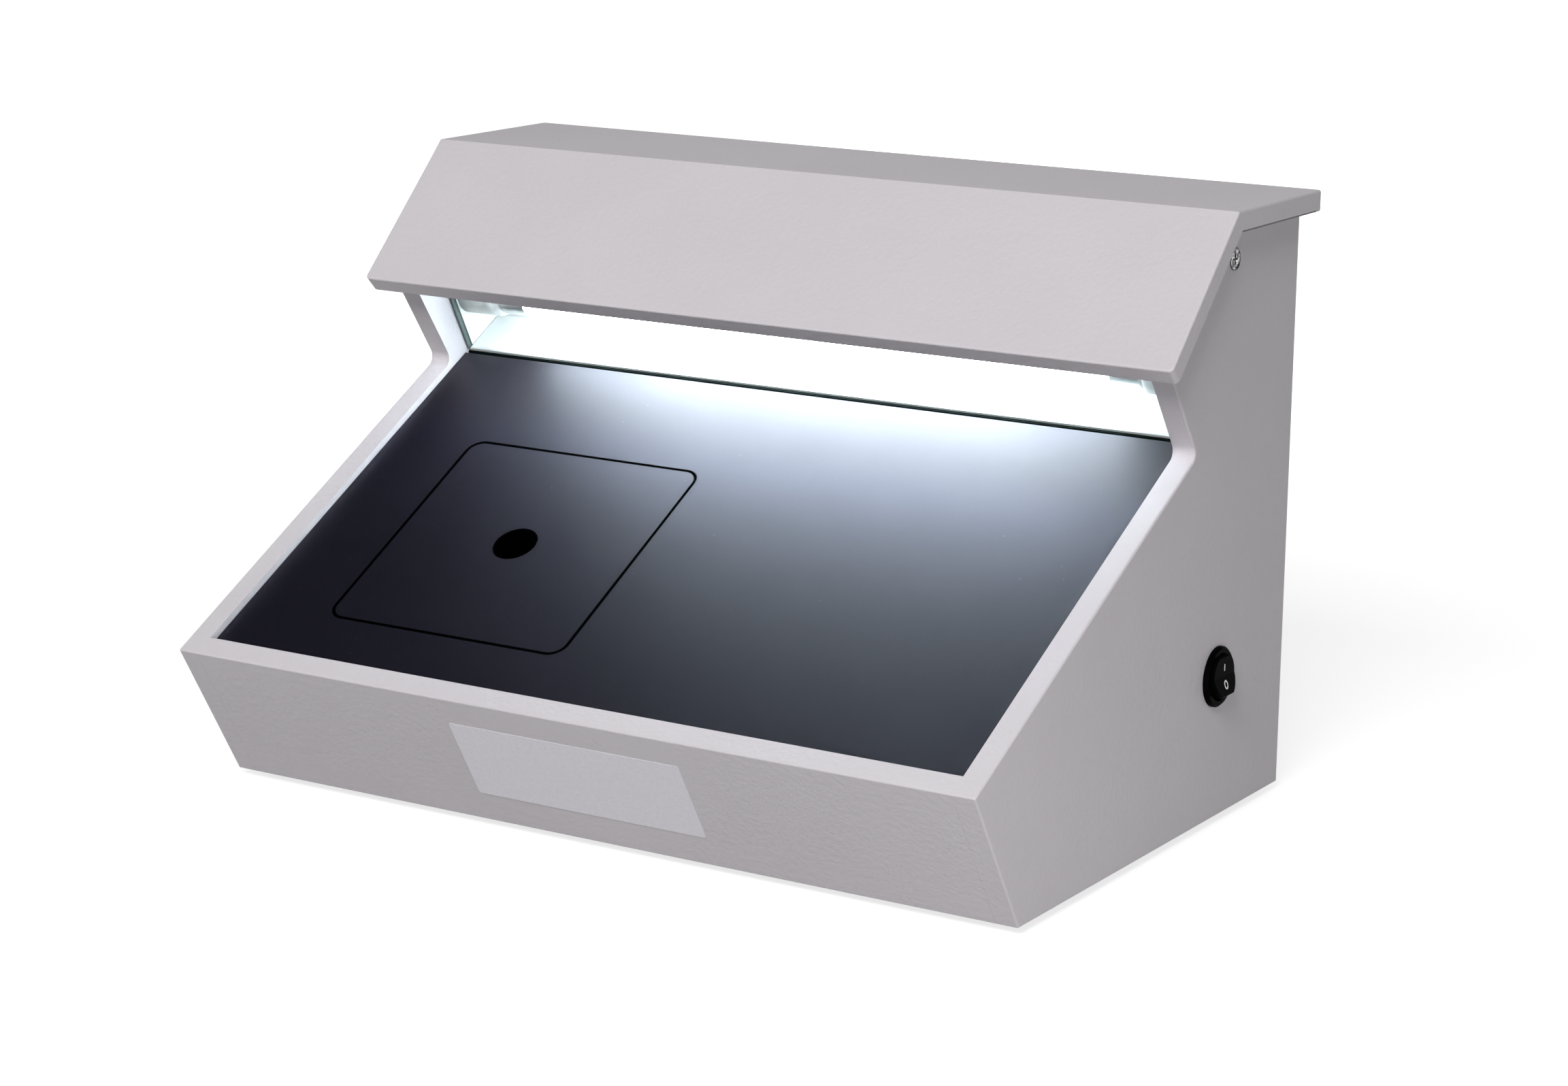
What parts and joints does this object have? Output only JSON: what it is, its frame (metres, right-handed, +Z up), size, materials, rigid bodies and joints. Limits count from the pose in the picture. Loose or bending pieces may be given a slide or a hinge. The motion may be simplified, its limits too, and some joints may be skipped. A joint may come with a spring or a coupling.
{
  "type": "fabric viewing cabinet",
  "caption": "Bench-top viewing cabinet: sloping black platform with a lift-out specimen plate under a hooded fluorescent lamp that lights fabric at a grazing angle.",
  "frame": {"origin": "middle of the cabinet in plan, at the underside of the rubber feet", "axes": "+X to the right seen from the front, +Y to the back, +Z up"},
  "size_m": [0.357, 0.2467, 0.2331],
  "materials": {
    "paint": "satin grey paint",
    "black_board": "satin black",
    "bare_wood": "planed",
    "bright_metal": "polished",
    "zinc": "zinc plated",
    "cover_glass": "clear, green at the edges",
    "white_sheet": "gloss white",
    "lamp_glass": "white phosphor inside",
    "cap_metal": "satin",
    "white_plastic": "moulded",
    "black_plastic": "moulded",
    "contact_brass": "tinned",
    "fuse_glass": "clear with metal ends",
    "core_steel": "grey enamel",
    "starter_can": "satin",
    "rubber": "matte",
    "lead_brown": "insulation",
    "lead_blue": "insulation",
    "lead_green": "insulation"
  },
  "bodies": {
    "cabinet": {"back_cleat_left": "bare_wood", "back_cleat_right": "bare_wood", "back_panel": "paint", "back_panel_screws": "zinc", "ballast_core": "core_steel", "ballast_screws": "zinc", "ballast_terminals": "white_plastic", "base_panel": "paint", "earth_lead": "lead_green", "foot_screws": "zinc", "front_apron": "paint", "hood_cleat_left": "bare_wood", "hood_cleat_right": "bare_wood", "hood_cup_washers": "bright_metal", "hood_front_board": "paint", "hood_ridge_block": "bare_wood", "hood_screws": "bright_metal", "hood_top_board": "paint", "inlet_pins": "contact_brass", "lamp_cover": "cover_glass", "lamp_lead_left": "lead_brown", "lamp_reflector": "white_sheet", "lampholder_left": "white_plastic", "lampholder_right": "white_plastic", "left_side_panel": "paint", "live_lead": "lead_brown", "mains_inlet": "black_plastic", "neutral_lead": "lead_blue", "plate_backing_board": "bare_wood", "platform_cleat_left": "bare_wood", "platform_cleat_right": "bare_wood", "platform_front_cleat": "bare_wood", "rear_rail": "black_board", "reflector_screws": "white_sheet", "right_side_panel": "paint", "rubber_feet": "rubber", "starter_holder": "white_plastic", "starter_lead_left": "lead_blue", "starter_lead_right": "lead_blue", "switch_housing": "black_plastic", "switch_terminals": "contact_brass", "switched_lead": "lead_brown", "viewing_platform": "black_board"},
    "rocker": {"switch_rocker": "black_plastic"},
    "sample_plate": {"specimen_plate": "black_board"},
    "lamp": {"lamp_tube": "lamp_glass", "lamp_end_caps": "cap_metal"},
    "lamp_starter": {"starter": "starter_can"},
    "fuse_carrier": {"fuse_drawer": "black_plastic", "fuse": "fuse_glass"}
  },
  "joints": [
    {"name": "rocker_hinge", "type": "hinge", "parent": "cabinet", "child": "rocker", "pos_m": [0.1712, 0.06, 0.0582], "axis": [0, 1, 0], "range_deg": [0, 16]},
    {"name": "plate_lift", "type": "slide", "parent": "cabinet", "child": "sample_plate", "axis": [0, -0.4802, 0.8771], "range_m": [0, 0.05]},
    {"name": "lamp_twist", "type": "hinge", "parent": "cabinet", "child": "lamp", "pos_m": [0, 0.0504, 0.173], "axis": [1, 0, 0], "range_deg": [0, 90]},
    {"name": "starter_twist", "type": "hinge", "parent": "cabinet", "child": "lamp_starter", "pos_m": [-0.112, 0.0695, 0.012], "axis": [0, 0, 1], "range_deg": [0, 60]},
    {"name": "fuse_drawer_slide", "type": "slide", "parent": "cabinet", "child": "fuse_carrier", "axis": [0, 1, 0], "range_m": [0, 0.022]}
  ]
}
